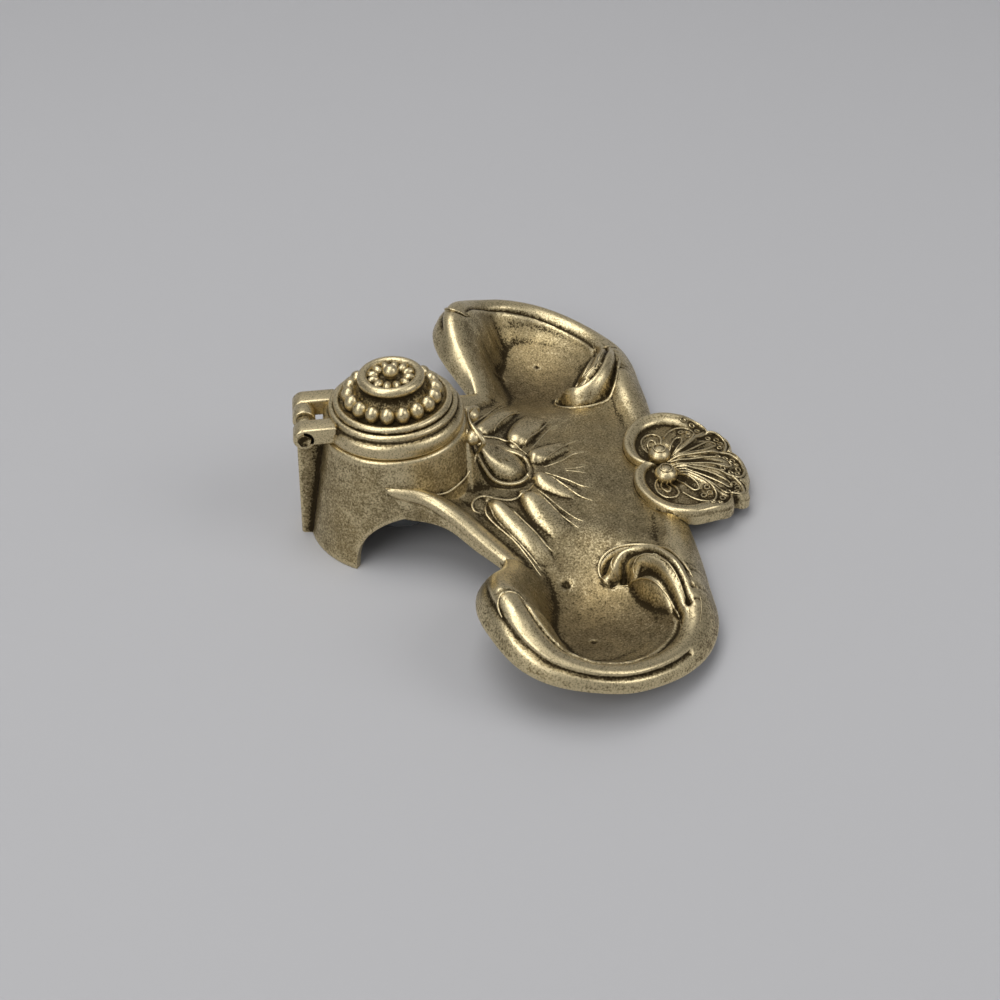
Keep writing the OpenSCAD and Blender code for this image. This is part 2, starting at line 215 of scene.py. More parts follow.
def ease(t):
    """0 up to t = 0 and 1 from t = 1, with a smooth step between."""
    c = clamp01(t)
    return c * c * (3 - 2 * c)


def smooth_max(a, b, k):
    """The larger of two heights, rounded where they cross within k."""
    h = clamp01(0.5 + 0.5 * (a - b) / k)
    return b + (a - b) * h + k * h * (1 - h)


def near(q, line):
    """The nearest place to each point q on a line of rows (x, y, more).

    Returns the distance, the row's values there, the side (1 is left of the line) and the share of the line.
    """
    line = np.array(line, float)
    a, b = line[:-1, :2], line[1:, :2]
    d = b - a
    dd = (d * d).sum(1)
    dist, rows, side, share = [], [], [], []
    for start in range(0, len(q), BATCH):
        p = q[start:start + BATCH]
        v = p[:, None, :] - a[None]
        t = clamp01((v * d[None]).sum(2) / dd[None])
        w = v - t[..., None] * d[None]
        dist2 = (w * w).sum(2)
        i = dist2.argmin(1)
        k = np.arange(len(p))
        ti = t[k, i]
        dist.append(np.sqrt(dist2[k, i]))
        rows.append(line[i] + (line[i + 1] - line[i]) * ti[:, None])
        side.append(np.sign(d[i, 0] * v[k, i, 1] - d[i, 1] * v[k, i, 0]))
        share.append((i + ti) / len(a))
    return np.concatenate(dist), np.vstack(rows), np.concatenate(side), np.concatenate(share)


# The casting's sizes, as in the CAD source

WELL_H, WELL_R, FLARE, WALL = 40.0, 23.4, 7.6, 2.4
ARCH_HALF, ARCH_H, ARCH_Y = 19.5, 20.2, -3.0
MID_FLOOR, BOWL_FLOOR, VALLEY, VALLEY_FADE = 11.5, 3.0, 21.0, 18
BOWL, BOWL_R = np.array((64.0, -54.0)), 36.0
TRAY_T, LIP_T = 3.0, 0.9
ROLL_R, ROLL_SLOPE = 5.0, 1.1
STEPS = 12
# Sizes of forms that only this script makes
FRONT_DROP = 1.4
ROLL_ROUND, ROLL_HALF, ROLL_LEDGE, CREASE_DEEP = 5.0, 4.1, 1.4, 0.9
HOOD_FOOT, HOOD_RISE, HOOD_FADE, HOOD_TOP_HALF, HOOD_BEND, HOOD_END = 13, 25, 9, 4.5, 0.14, 6
BOSS_SINK = 2.4
SEAM_R = 23.6

# Rim of the tray: x, y, height of the crest, run to the outer edge, drop to the outer edge
RAIL = [(25, 5, 31.5, 2.2, 10), (26.2, -6, 29.5, 2.2, 9), (32, -15, 26, 2.2, 5.5),
        (38.8, -23.4, 20.5, 2.2, 4.4), (46, -31, 15.8, 1.3, 3.2)]
LOBE = [(46, -31, 15.8, 1.3, 3.2), (54.5, -30.3, 20, 4.2, 4.8), (66, -26.5, 27.5, 6.5, 7),
        (76, -25.5, 31.8, 7.2, 9), (85, -28.5, 31, 7.4, 9), (92.5, -33, 27, 7, 7.5),
        (98, -39, 23.3, 5.6, 6), (101.4, -48, 20.5, 4.4, 5), (101, -58, 18, 4.4, 5),
        (97.8, -66.5, 16, 4.6, 5), (91.8, -75, 14, 5.2, 5.4), (83, -82, 12.8, 6.4, 6),
        (72, -85.5, 14.2, 7.8, 8), (58, -85, 16, 9, 10), (45, -85.5, 15, 8.4, 7.5),
        (33, -86.5, 12.2, 7, 4), (16, -87, 10.2, 6, 2.4), (0, -87, 9.7, 6, 2)]
# Scroll that curls into the bowl: x, y, height, half width
SCROLL = curve([(72, -84.5, 13.5, 6), (61, -81.5, 18, 6.6), (53.5, -78, 17.6, 6.6), (48.8, -73, 15.8, 6),
                (47.4, -68, 13.2, 4.6), (49.5, -63.5, 10.6, 3)], STEPS)


def crest_lines():
    """The crest and the outer edge of one half, paired point by point."""
    coarse = np.vstack([curve(RAIL, 3), curve(LOBE, 3)[1:]])
    d = np.vstack([coarse[1] - coarse[0], coarse[2:] - coarse[:-2], coarse[-1] - coarse[-2]])[:, :2]
    out = np.stack([-d[:, 1], d[:, 0]], 1) / np.linalg.norm(d, axis=1)[:, None]
    edge = coarse[:, :2] + coarse[:, 3:4] * out
    fine = np.vstack([curve(RAIL, STEPS), curve(LOBE, STEPS)[1:]])
    return fine, curve(edge, STEPS // 3)


CREST, EDGE = crest_lines()


def wall_r(z):
    return WELL_R + FLARE * (1 - z / WELL_H)


def wall_fall(d, start):
    """Extra fall of the bowl's wall beyond a distance from the crest, which rounds its foot."""
    return 0.12 * np.maximum(0, d - start) ** 2


def rim_inside(c, d):
    """Height at distance d inside crest rows c: rolled rim, crease and ledge, then the bowl's wall."""
    knee = ROLL_R * ROLL_SLOPE
    plain_drop = np.where(d < knee, d * d / (2 * ROLL_R), ROLL_SLOPE * (d - knee / 2)) + wall_fall(d, 7)
    dr = np.minimum(d, ROLL_HALF)
    roll = ROLL_ROUND - np.sqrt(ROLL_ROUND * ROLL_ROUND - dr * dr)
    roll += 0.35 * clamp01((d - ROLL_HALF) / ROLL_LEDGE)
    roll += 1.2 * np.maximum(0, d - ROLL_HALF - ROLL_LEDGE) + wall_fall(d, 8)
    roll += CREASE_DEEP * bell(d - ROLL_HALF - 0.3, 0.55)
    rolled = ease((c[:, 0] - 72) / 7) * ease((-26 - c[:, 1]) / 3)
    return c[:, 2] - plain_drop + (plain_drop - roll) * rolled


def body_height(q):
    """Floor, hood, leaf and scroll of one half (x >= 0), without the rim."""
    x, y = q[:, 0], q[:, 1]
    out = np.maximum(0, np.hypot(x, y) - wall_r(VALLEY))
    bowl = np.linalg.norm(q - BOWL, axis=1) / BOWL_R
    dip = np.where(bowl < 1, (1 - np.minimum(bowl, 1) ** 2) ** 2, 0)
    floor = MID_FLOOR + (VALLEY - MID_FLOOR) * np.exp(-out / VALLEY_FADE) - (MID_FLOOR - BOWL_FLOOR) * dip
    floor -= FRONT_DROP * ease((-60 - y) / 22) * ease((46 - x) / 16)
    run, side = np.maximum(0, -y - WELL_R), np.maximum(0, x - HOOD_TOP_HALF)
    hood = HOOD_FOOT + HOOD_RISE * np.exp(-run / HOOD_FADE)
    hood = hood - HOOD_BEND * side * side - HOOD_END * ease((run - 16) / 20)
    h = smooth_max(floor, hood, 3.0)
    h += leaf_relief(q)
    d, c, _, _ = near(q, SCROLL)
    u = d / c[:, 3]
    return smooth_max(h, c[:, 2] - 5 * u * u, 1.2)


# Leaf: a lobe runs out from beside the boss along each line; x, y, height, half width
LEAF_LOBES = [
    [(5.2, -44.8, 0.8, 1.8), (6.2, -47.2, 2.8, 3.2), (9.6, -51.6, 1.7, 3.6), (14, -59, 0.1, 2.6)],
    [(13.6, -41.2, 0.8, 2.0), (17, -42.6, 3.0, 4.0), (24, -46.0, 2.1, 4.8), (33, -51.5, 0.1, 4.0)],
    [(19, -29.0, 0.6, 1.8), (22, -31.2, 2.5, 3.0), (29, -35.8, 2.2, 3.7), (36, -40.4, 1.4, 3.5),
     (44, -44.6, 0.1, 2.6)],
]


def rounded(q, rows):
    """Rise of a form that is round in section, along rows (x, y, height, half width)."""
    d, c, _, _ = near(q, curve(rows, 6))
    return c[:, 2] * np.sqrt(np.maximum(0, 1 - (d / c[:, 3]) ** 2))


def leaf_relief(q):
    h = np.zeros(len(q))
    for lobe in LEAF_LOBES:
        h = np.maximum(h, rounded(q, lobe))
    return h


# Thin ridge round the boss on the hood
RING = curve([(0, -44.6), (4, -43.7), (7.6, -41), (9.5, -37), (10.1, -33), (9.9, -29.6), (8.9, -26.8),
              (7.2, -25.4)], 8)
# Tongues that lie in the scroll: x, y, height, half width
TONGUES = [
    [(50.6, -66.2, 0.1, 1.0), (48.6, -65.4, 1.2, 1.8), (46, -66.4, 2.0, 2.5), (44.5, -69.2, 2.2, 2.7),
     (45.4, -73.2, 2.2, 2.9), (48.8, -77, 2.1, 3.0), (54.4, -80.2, 1.9, 3.0), (61, -82.8, 1.6, 3.0),
     (68, -84.6, 0.8, 2.8), (75, -84.8, 0.1, 2.4)],
    [(53.9, -70.2, 0.5, 1.2), (52.3, -71.4, 1.4, 1.6), (52.8, -74, 1.6, 2.0), (56.6, -77.2, 1.5, 2.1),
     (62.4, -79.6, 1.3, 2.0), (69, -81.4, 0.9, 1.8), (77, -81, 0.1, 1.6)],
]
# Ridge round the scroll's outside, ridge on the lip towards the bowl, and grooves: line, depth, width
SCROLL_EDGE = curve([(53, -63.4), (51, -61.6), (48, -60.4), (45, -60.6), (42, -62.4), (39.9, -65.9),
                     (39.2, -70), (39.8, -74.8), (42, -79.4), (47.6, -82.8), (55.6, -85.2), (63, -86.9),
                     (72, -87.4), (80, -85.2)], 8)
SCROLL_LIP = curve([(53, -63.4), (53.4, -66.6), (55, -69.8), (57.2, -72.4), (60.6, -74.8), (64.8, -77),
                    (69, -79), (74, -80.2), (80.4, -79.6)], 8)
SCROLL_GROOVES = [
    ([(52, -63.6), (49.6, -62.4), (46.2, -62.4), (43.2, -64.6), (41.5, -68.6), (41.6, -73.4), (43.8, -78.2),
      (48.6, -81.6), (55.6, -84), (62.6, -85.8)], 1.5, 0.95),
    ([(52.4, -67.2), (49.4, -67.8), (48, -70.2), (48.8, -73.6), (52.4, -77), (58, -79.8), (64.6, -82.4),
      (72, -83.4)], 1.5, 0.85),
    ([(55, -71.4), (57.4, -74.4), (62, -77), (68, -79.2), (75, -80.2)], 1.2, 0.75),
]
# Hooked line where the rim's roll begins
ROLL_START = curve([(86, -24.7), (82.6, -24), (79.9, -25.2), (78.6, -27.8), (78.6, -30.8), (80.6, -32.6)], 6)


def inside_ring(q):
    """Distance into the boss, from its ring."""
    d, _, side, _ = near(q, RING)
    return np.where((side > 0) & (q[:, 1] > -45), d, -d)


# Casting pits on the boss, then in the bowls: x, y, radius, depth
PITS = [(1.4, -33.6, 0.5, 0.5), (-2.6, -36.4, 0.6, 0.6), (-4.2, -33.8, 0.4, 0.4), (69.2, -43, 1.1, 0.8),
        (76.1, -57.7, 0.7, 0.6), (-50.1, -49.2, 1.3, 1.1), (-75.7, -53.8, 0.8, 0.7)]


def pits(q):
    """Height of the pits' hollows, at or below 0. They differ from half to half."""
    h = np.zeros(len(q))
    for x, y, radius, depth in PITS:
        h -= depth * np.exp(-((q[:, 0] - x) ** 2 + (q[:, 1] - y) ** 2) / radius ** 2)
    return h


def groove(q, line, depth, width):
    return -depth * bell(near(q, line)[0], width)


def relief(q):
    """Fine relief on the tray's upper face of one half."""
    into = inside_ring(q)
    on_hood = ease((q[:, 1] + 47) / 2) * ease((-23.6 - q[:, 1]) / 1.6)
    h = boss(q) - BOSS_SINK * ease(into / 2.0) * on_hood
    h -= 0.6 * bell(into + 1.3, 0.6) * on_hood
    for tongue in TONGUES:
        h += rounded(q, tongue)
    for line, depth, width in SCROLL_GROOVES:
        h += groove(q, curve(line, 5), depth, width)
    h += groove(q, ROLL_START + (-0.7, 0.4), 0.7, 0.7)
    return h


BOSS_Y, BOSS_HALF, BOSS_RISE = -35.2, (7.8, 8.2), 5.6


def boss(q):
    """Rise of the egg-shaped boss over the hood."""
    u2 = (q[:, 0] / BOSS_HALF[0]) ** 2 + ((q[:, 1] - BOSS_Y) / BOSS_HALF[1]) ** 2
    return BOSS_RISE * np.sqrt(np.maximum(0, 1 - u2))


def one_half(q):
    """The same places on the +X half."""
    return np.stack([np.abs(q[:, 0]), q[:, 1]], 1)


def rim_outside(c, d):
    return c[:, 2] - c[:, 4] * np.minimum(1, d / c[:, 3]) ** 2


def surface(q):
    """Height of the tray's upper face, for points of either half."""
    q = np.array(q, float).reshape(-1, 2)
    pitted = pits(q)
    q = one_half(q)
    d, c, side, _ = near(q, CREST)
    k = 0.3 + 1.6 * ease(d / 4) + 5.5 * ease((d - 5) / 7)
    inner = smooth_max(body_height(q), rim_inside(c, d), k)
    inner = inner + relief(q) + pitted
    return np.where((side > 0) & (d > 1e-6), rim_outside(c, d), inner)


def underside(q):
    """Height of the tray's lower face: thicker under the bowls, and never below the desk."""
    q = one_half(q)
    d, c, side, _ = near(q, CREST)
    inner = smooth_max(body_height(q), rim_inside(c, d), 2.0 + 5 * ease((d - 5) / 7))
    h = np.where(side > 0, rim_outside(c, d), inner)
    bowl = np.minimum(1, np.linalg.norm(q - BOWL, axis=1) / BOWL_R)
    return np.maximum(0, np.minimum(h - LIP_T, h - TRAY_T * (1 + 0.35 * (1 - bowl * bowl))))


def mirrored(line):
    """A half outline that ends on x = 0, and its mirror image, in one run."""
    line = np.array(line)
    other = line[:-1][::-1].copy()
    other[:, 0] *= -1
    return np.vstack([line, other])


def grid_inside(closed, spacing):
    """Points of a staggered grid that lie inside a closed line."""
    low, high = closed.min(0), closed.max(0)
    n = int(low[0] / spacing) - 1, int(high[0] / spacing) + 1
    xs = np.arange(n[0], n[1] + 1) * spacing
    ys = np.arange(low[1], high[1], spacing * 0.87)
    gx, gy = np.meshgrid(xs, ys)
    gx[1::2] += spacing / 2
    q = np.stack([gx.ravel(), gy.ravel()], 1)
    inside = np.zeros(len(q), bool)
    for (x0, y0), (x1, y1) in zip(closed[:-1], closed[1:]):
        if y0 != y1:
            crossed = (q[:, 1] > y0) != (q[:, 1] > y1)
            inside ^= crossed & (q[:, 0] < (x1 - x0) * (q[:, 1] - y0) / (y1 - y0) + x0)
    return q[inside]


def fill(ring, spacing, keep):
    """Triangles inside a closed ring of (x, y), with a grid of added points at least keep from it.

    Returns the places, the triangles, and for each point of the ring the index of its place.
    """
    closed = np.vstack([ring, ring[:1]])
    q = grid_inside(closed, spacing)
    q = q[near(q, closed)[0] > keep]
    points = [Vector(p) for p in np.vstack([ring, q]).tolist()]
    res = delaunay_2d_cdt(points, [], [list(range(len(ring)))], 1, 1e-7)
    place_of = {k: i for i, group in enumerate(res[3]) for k in group if k < len(ring)}
    return np.array([tuple(v) for v in res[0]]), [tuple(f) for f in res[2]], place_of


def well_arc():
    """The tray's inner boundary, sunk in the housing's wall, round the front to the +X rail."""
    start = math.atan2(CREST[0][1], CREST[0][0])
    a = np.linspace(start, -math.pi - start, 152)
    return SEAM_R * np.stack([np.cos(a), np.sin(a)], 1)[::-1][1:-1]


def sink_start(crest, edge):
    """Leads the rim's outer face into the housing's wall where the rail begins."""
    run = np.concatenate([[0], np.linalg.norm(np.diff(crest[:, :2], axis=0), axis=1).cumsum()])
    away = np.minimum(run, run[-1] - run)
    shift = 1.6 * (1 - ease(away / 9))
    inward = -crest[:, :2] / np.linalg.norm(crest[:, :2], axis=1)[:, None]
    edge[:, :2] += shift[:, None] * inward


def ease_corner(edge):
    """Rounds the outer edge where the rail turns into the lobe, so that it doesn't fold."""
    corner = np.array(RAIL[-1][:2])
    for side in (1, -1):
        far = np.linalg.norm(edge - corner * (side, 1), axis=1)
        weight = (0.9 * (1 - ease((far - 3) / 3)))[1:-1, None]
        for _ in range(16):
            between = (edge[:-2] + edge[2:]) / 2
            edge[1:-1] += weight * 0.5 * (between - edge[1:-1])


def outer_rows(crest, edge, crest_z):
    """Rows of points down the rim's outer face, with a groove along the bowls, to the edge."""
    away = edge - crest[:, :2]
    out = away / np.linalg.norm(away, axis=1)[:, None]
    grooved = ease((np.abs(crest[:, 0]) - 68) / 8) * (crest[:, 1] > -78)
    rows = []
    for u in np.concatenate([np.linspace(0, 0.94, 16)[1:], [0.97, 1.0]]):
        depth = 0.75 * bell(u - 0.55, 0.1) * grooved
        xy = crest[:, :2] + away * u - depth[:, None] * out
        z = crest[:, 2] - crest[:, 4] * u * u + (crest_z - crest[:, 2]) * (1 - u) ** 2 - 0.6 * depth
        rows.append(np.column_stack([xy, z]))
    return rows


def tray_low(crest, edge, seam, seam_z):
    """Points and triangles of the tray's lower face, and where each point of its ring is."""
    places, triangles, place_of = fill(np.vstack([edge, seam]), 1.5, 0.8)
    low = np.column_stack([places, underside(places)])
    ring_z = np.concatenate([crest[:, 2] - crest[:, 4] - LIP_T, seam_z - TRAY_T])
    for i, z in enumerate(ring_z):
        low[place_of[i], 2] = z
    return low, triangles, place_of


def make_tray():
    crest, edge = mirrored(CREST), mirrored(EDGE)
    sink_start(crest, edge)
    ease_corner(edge)
    n, seam = len(crest), well_arc()
    m = n + len(seam)
    places, faces, top_of = fill(np.vstack([crest[:, :2], seam]), 0.62, 0.35)
    top = np.column_stack([places, surface(places)])
    ring_z = np.array([top[top_of[i]][2] for i in range(m)])
    rows = outer_rows(crest, edge, ring_z[:n])
    base = len(top) + len(rows) * n
    index = [[top_of[i] for i in range(n)]]
    index += [list(range(len(top) + k * n, len(top) + (k + 1) * n)) for k in range(len(rows))]
    low, low_faces, low_of = tray_low(crest, edge, seam, ring_z[n:])
    for a, b in zip(index[:-1], index[1:]):
        faces += [(a[j], b[j], b[j + 1], a[j + 1]) for j in range(n - 1)]
    faces += [tuple(base + k for k in f[::-1]) for f in low_faces]
    last = index[-1]
    for j in range(n - 1):
        faces.append((last[j], base + low_of[j], base + low_of[j + 1], last[j + 1]))
    for a, b in zip(range(n, m - 1), range(n + 1, m)):
        faces.append((top_of[a], base + low_of[a], base + low_of[b], top_of[b]))
    for end, beside in ((0, m - 1), (n - 1, n)):
        loop = [row[end] for row in index] + [base + low_of[end], base + low_of[beside], top_of[beside]]
        faces.append(tuple(loop if end == 0 else loop[::-1]))
    shape = Shape()
    shape.add(np.vstack([top] + rows + [low]), faces)
    add_ridges(shape)
    return shape.build("tray_casting", 50.0)


# Thin raised lines on the tray: points (x, y) on one half, and the radius in the middle
RIDGES = [
    (RING[::3], 0.8),
    ([(8, -45), (11.6, -42.6), (15, -39.6), (17.4, -35.2), (17.4, -30.4), (17.2, -26.8), (19, -24),
      (21.7, -22.6), (24, -23.2), (24.4, -25)], 0.55),
    ([(4, -49.8), (8, -53.4), (11.6, -56.6), (14.9, -59.9), (17, -63.6)], 0.4),
    ([(1.6, -49.6), (3.4, -53), (6, -57.2), (8.9, -60.8), (10, -64.6)], 0.36),
    ([(0.4, -56.6), (0.9, -60), (2, -64)], 0.28),
    ([(11.8, -43.4), (14.8, -45.2), (19.4, -48.4), (24.6, -52), (30.4, -56.4)], 0.44),
    ([(10.8, -45.6), (14.4, -48.2), (20.6, -52.2), (25.4, -55.9), (27.4, -58.8)], 0.38),
    ([(20.4, -34.2), (24.4, -36.2), (29.6, -39.4), (35.4, -43.6), (39.2, -46.8)], 0.44),
    ([(19.6, -27.6), (23.4, -26.8), (27.4, -28.4), (37, -35.4), (48.4, -41.4)], 0.42),
    ([(21.4, -28.2), (25.6, -29.6), (31.4, -32.8), (39.4, -38), (45.8, -42)], 0.4),
    (SCROLL_EDGE[::4], 0.6),
    (SCROLL_LIP[::4], 0.45),
    ([(45.7, -65.4), (48.2, -63.9), (50, -64.2), (51.6, -65.6)], 0.34),
    ([(54, -70.1), (52.3, -70.3), (51.4, -72.2), (53.6, -75.8), (58.4, -78.9), (64.6, -81.4),
      (70, -82.8)], 0.36),
    (ROLL_START[::3], 0.5),
]


RAIL_BEAD_R, RAIL_ON_LOBE = 2.4, [(50.4, -31.4, 17.4), (56, -30.3, 20.6)]
HOOD_SWELL = (6.4, -25.2, 35.2)


def add_rail(shape):
    """Rounded bead on the rail, from its tip on the wall to the lobe."""
    line = curve([(p[0] - 0.6, p[1], p[2]) for p in RAIL] + RAIL_ON_LOBE, 8)
    share = np.linspace(0, 1, len(line))
    radius = RAIL_BEAD_R * np.sqrt(np.clip(share / 0.1, 0.02, 1)) * (1 - 0.85 * ease((share - 0.5) / 0.5))
    for side in (1, -1):
        shape.add(*tube((line - np.outer(radius, (0, 0, 0.85))) * (side, 1, 1), radius, 16))


def add_ridges(shape):
    """The rails' beads, the swellings beside the lid's foot and the thin raised lines."""
    add_rail(shape)
    x, y, z = HOOD_SWELL
    for side in (1, -1):
        shape.add(*ball((side * x, y, z), (3.6, 3.0, 2.6), side * 0.7))
    for points, radius in RIDGES:
        line = curve(points, 8)
        for side in (1, -1):
            q = line * (side, 1)
            s = np.linspace(0, 1, len(q))
            r = radius * (0.25 + 0.75 * np.minimum(1, 4 * np.minimum(s + 0.04, 1.04 - s)))
            shape.add(*tube(np.column_stack([q, surface(q) - 0.1]), r))


# Housing

def arch_foot(a):
    """Lowest height of the wall at angle a (0 at +X), where the side arches cut it."""
    z = 10.0
    for _ in range(12):
        y = wall_r(z) * math.sin(a)
        u = (y - ARCH_Y) / ARCH_HALF
        z = ARCH_H if u < 0 else (ARCH_H * math.sqrt(max(0, 1 - u * u)) if u < 1 else 0.0)
    return z


PILLAR_HALF, PILLAR_EDGE, PILLAR_BACK, PILLAR_FOOT = 5.0, 1.0, 2.8, 2.9
POT_SEAT_DEEP, SEAT_T, SEAT_IN, SEAT_OUT = 4.4, 2.2, 18.4, 21.4


def wall_column(a, heights):
    """Outer and inner points of the wall at angle a, from its foot up, with the pillar at the back."""
    z0 = arch_foot(a)
    outer, inner = [], []
    for t in heights:
        z = z0 + (WELL_H - z0) * t
        r = wall_r(z)
        if math.sin(a) > 0.5:
            top = HINGE_Y + PILLAR_BACK
            back = top + (wall_r(0) + PILLAR_FOOT - HINGE_Y - PILLAR_BACK) * (1 - z / WELL_H)
            reach = back / math.sin(a)
            x = abs(reach * math.cos(a))
            r += max(0, reach - r) * (1 - float(ease((x - PILLAR_HALF + PILLAR_EDGE) / PILLAR_EDGE / 1.6)))
        corner = min(1.0, (1 - t) * (WELL_H - z0) / 0.8)
        foot = min(1.0, t * (WELL_H - z0) / 0.6)
        r -= 0.5 * (1 - corner) ** 2 + 0.35 * (1 - foot) ** 2
        outer.append((*spoke(r, a), z))
        r = wall_r(min(z, WELL_H)) - WALL - 0.2 * (1 - foot) ** 2
        inner.append((*spoke(r, a), z))
    return outer, inner


def make_housing():
    shape = Shape()
    spans = ((-90, 20, 80), (20, 40, 70), (40, 76, 50), (76, 84, 40), (84, 90, 12))
    right = np.unique(np.concatenate([np.linspace(*span) for span in spans]).round(4))
    left = 180 - right[::-1]
    turns = np.radians(np.unique(np.concatenate([right, left]).round(4)))[:-1]
    spans = ((0, 0.04, 4), (0.06, 0.96, 44), (0.975, 1, 4))
    heights = np.concatenate([np.linspace(*span) for span in spans])
    columns = [wall_column(a, heights) for a in turns]
    n, m = len(turns), len(heights)
    points = np.array([c[0] for c in columns] + [c[1] for c in columns]).reshape(-1, 3)
    faces = grid_faces(n, m, close_rows=True)
    faces += [tuple(n * m + k for k in f[::-1]) for f in faces]
    for i in range(n):
        a, b = i * m, ((i + 1) % n) * m
        faces.append((a, n * m + a, n * m + b, b))
        faces.append((a + m - 1, b + m - 1, n * m + b + m - 1, n * m + a + m - 1))
    shape.add(points, faces)
    seat = WELL_H - POT_SEAT_DEEP
    low = seat - SEAT_T
    shape.add(*lathe([(SEAT_IN, low), (SEAT_OUT, low), (SEAT_OUT, seat), (SEAT_IN, seat)]))
    add_pillar_top(shape)
    add_border(shape)
    return shape.build("well_housing_casting", 50.0)


def cylinder_x(x0, x1, y, z, radius, round_r=0.4, sides=40, bump=0.0):
    """A closed cylinder along X with rounded ends."""
    steps = [(0, radius - round_r), (round_r * 0.3, radius - round_r * 0.3), (round_r, radius)]
    rings = [(x0 + d, r) for d, r in steps] + [(x1 - d, r) for d, r in steps[::-1]]
    points = []
    for x, r in rings:
        for k in range(sides):
            a = 2 * math.pi * k / sides
            rr = r * (1 + bump * math.sin(3 * a + x) * math.cos(2 * a))
            points.append((x, y + rr * math.cos(a), z + rr * math.sin(a)))
    faces = grid_faces(len(rings), sides, close_cols=True, flip=True)
    faces.append(tuple(range(sides)))
    faces.append(tuple((len(rings) - 1) * sides + k for k in range(sides - 1, -1, -1)))
    return points, faces


def block(low, high, round_r=0.4):
    """A closed box with bevelled edges."""
    low, high = np.array(low, float), np.array(high, float)
    bm = bmesh.new()
    bmesh.ops.create_cube(bm, size=1.0)
    for v in bm.verts:
        v.co = Vector(low + (np.array(v.co) + 0.5) * (high - low))
    bmesh.ops.bevel(bm, geom=list(bm.edges), offset=round_r, segments=3, affect="EDGES", profile=0.5)
    bm.verts.index_update()
    points = [tuple(v.co) for v in bm.verts]
    faces = [tuple(v.index for v in f.verts) for f in bm.faces]
    bm.free()
    return points, faces


BARREL_R, PIN_STEP_R, BARREL_END = 3.7, 2.7, 4.85


def add_pillar_top(shape):
    """The pillar's head and the stepped barrel through which the pin runs."""
    low = (-PILLAR_HALF, HINGE_Y - 2.6, WELL_H - 3)
    shape.add(*block(low, (PILLAR_HALF, HINGE_Y + PILLAR_BACK, HINGE_Z), 0.5))
    shape.add(*cylinder_x(-0.8, BARREL_END, HINGE_Y, HINGE_Z, BARREL_R))
    shape.add(*cylinder_x(-BARREL_END, -0.6, HINGE_Y, HINGE_Z, PIN_STEP_R))


# Raised border of the smooth wall: x, y, z on one half, from the top of the hood to the rail
BORDER = [(0, -24.2, 39.2), (3.5, -24.6, 38.8), (7, -26.2, 37.2), (9.2, -28.2, 35), (9.2, -27.2, 32.6),
          (9, -25.8, 30), (11, -24.4, 27.6), (14, -22.2, 26), (17, -19.8, 25.5), (19.8, -17, 25.2),
          (22, -14.2, 25.3), (24, -10.4, 26.6), (25.2, -6.6, 28.2)]


def add_border(shape):
    line = curve(BORDER, 6)
    for side in (1, -1):
        q = line * (side, 1, 1)
        s = np.linspace(0, 1, len(q))
        r = 0.5 * (0.4 + 0.6 * np.minimum(1, 5 * np.minimum(s + 0.03, 1.02 - s)))
        r += 0.5 * bell(s - 0.2, 0.12)
        shape.add(*tube(q, r))


# Shell

SHELL_C = np.array((0, -92.8))
SHELL_SLIM, SHELL_T, SHELL_LIP, SHELL_GAP, OVER_TRAY = 0.94, 3.2, 0.9, 0.3, -95
BUTTON = np.array((5.6, -90.4))
# Ridges on one half of the shell: first the two between the lobes, then the loops within them
SHELL_RIDGES = [
    [(2.4, -92.6), (3, -98.3), (4.2, -104), (5.8, -109), (6.9, -113), (6.9, -116), (5, -118),
     (2.5, -118.9), (0, -118.9)],
    [(4.2, -93.4), (6.5, -97.1), (10.6, -101.7), (14.6, -105.2), (17, -107.9), (18.6, -110.6),
     (18.4, -113.4), (16.2, -115.3), (12.6, -115.6), (9.2, -114.6), (7.2, -113.6)],
    [(1.1, -93.5), (1.3, -100), (1.9, -107), (2.4, -111), (1.7, -113.7), (0, -114.7)],
    [(3.2, -93.4), (5, -98), (8.6, -103.4), (11.8, -107.6), (13.6, -110.2), (12.8, -111.9),
     (10.5, -110.8), (7.2, -106.6), (4.8, -101), (2.9, -95.4)],
    [(16.6, -94.2), (20.2, -96.9), (22.2, -100.4), (21.6, -103.8), (18.2, -105.2), (13.6, -103.6),
     (8.8, -100), (5.2, -95.8)],
    [(7.6, -94.1), (12, -95.9), (15.6, -98.2), (15.2, -100), (11.8, -99.5), (7.4, -96.7), (5.4, -94.7)],
    [(8.2, -86.9), (11.4, -85.7), (15.6, -86), (18.6, -88.2), (18.9, -91), (16.6, -92.9), (12.4, -92.3),
     (8.6, -91.2)],
    [(9.6, -88.2), (13, -87.7), (15.6, -89.2), (14, -90.6), (9.9, -90)],
]
SHELL_RINGS = [(3.5, -110.8), (4.4, -113.6), (3.9, -116.1), (1.6, -116.9), (16, -113), (13.6, -113.8),
               (11, -113), (16.2, -110), (19.2, -100.8), (18.4, -103), (15.6, -102.6), (20.4, -107),
               (23.4, -105.6), (25, -102.6)]
# Half of the shell's outline, from the tip round the lobes and the volute to the notch
SHELL_HALF = curve([(0, -120.3), (4, -120), (7.4, -118.6), (9.4, -116.4), (12.6, -117.4), (16.6, -116.8),
                    (19.4, -114), (19.9, -110.8), (23.2, -109.6), (26.6, -106.6), (29.6, -100.6),
                    (30.9, -94), (28.8, -87), (23.8, -82), (17.6, -79), (11.6, -77.8), (6, -78.3),
                    (2.4, -79.9), (0, -82)], 8) * (SHELL_SLIM, 1) - (0, 0.8)


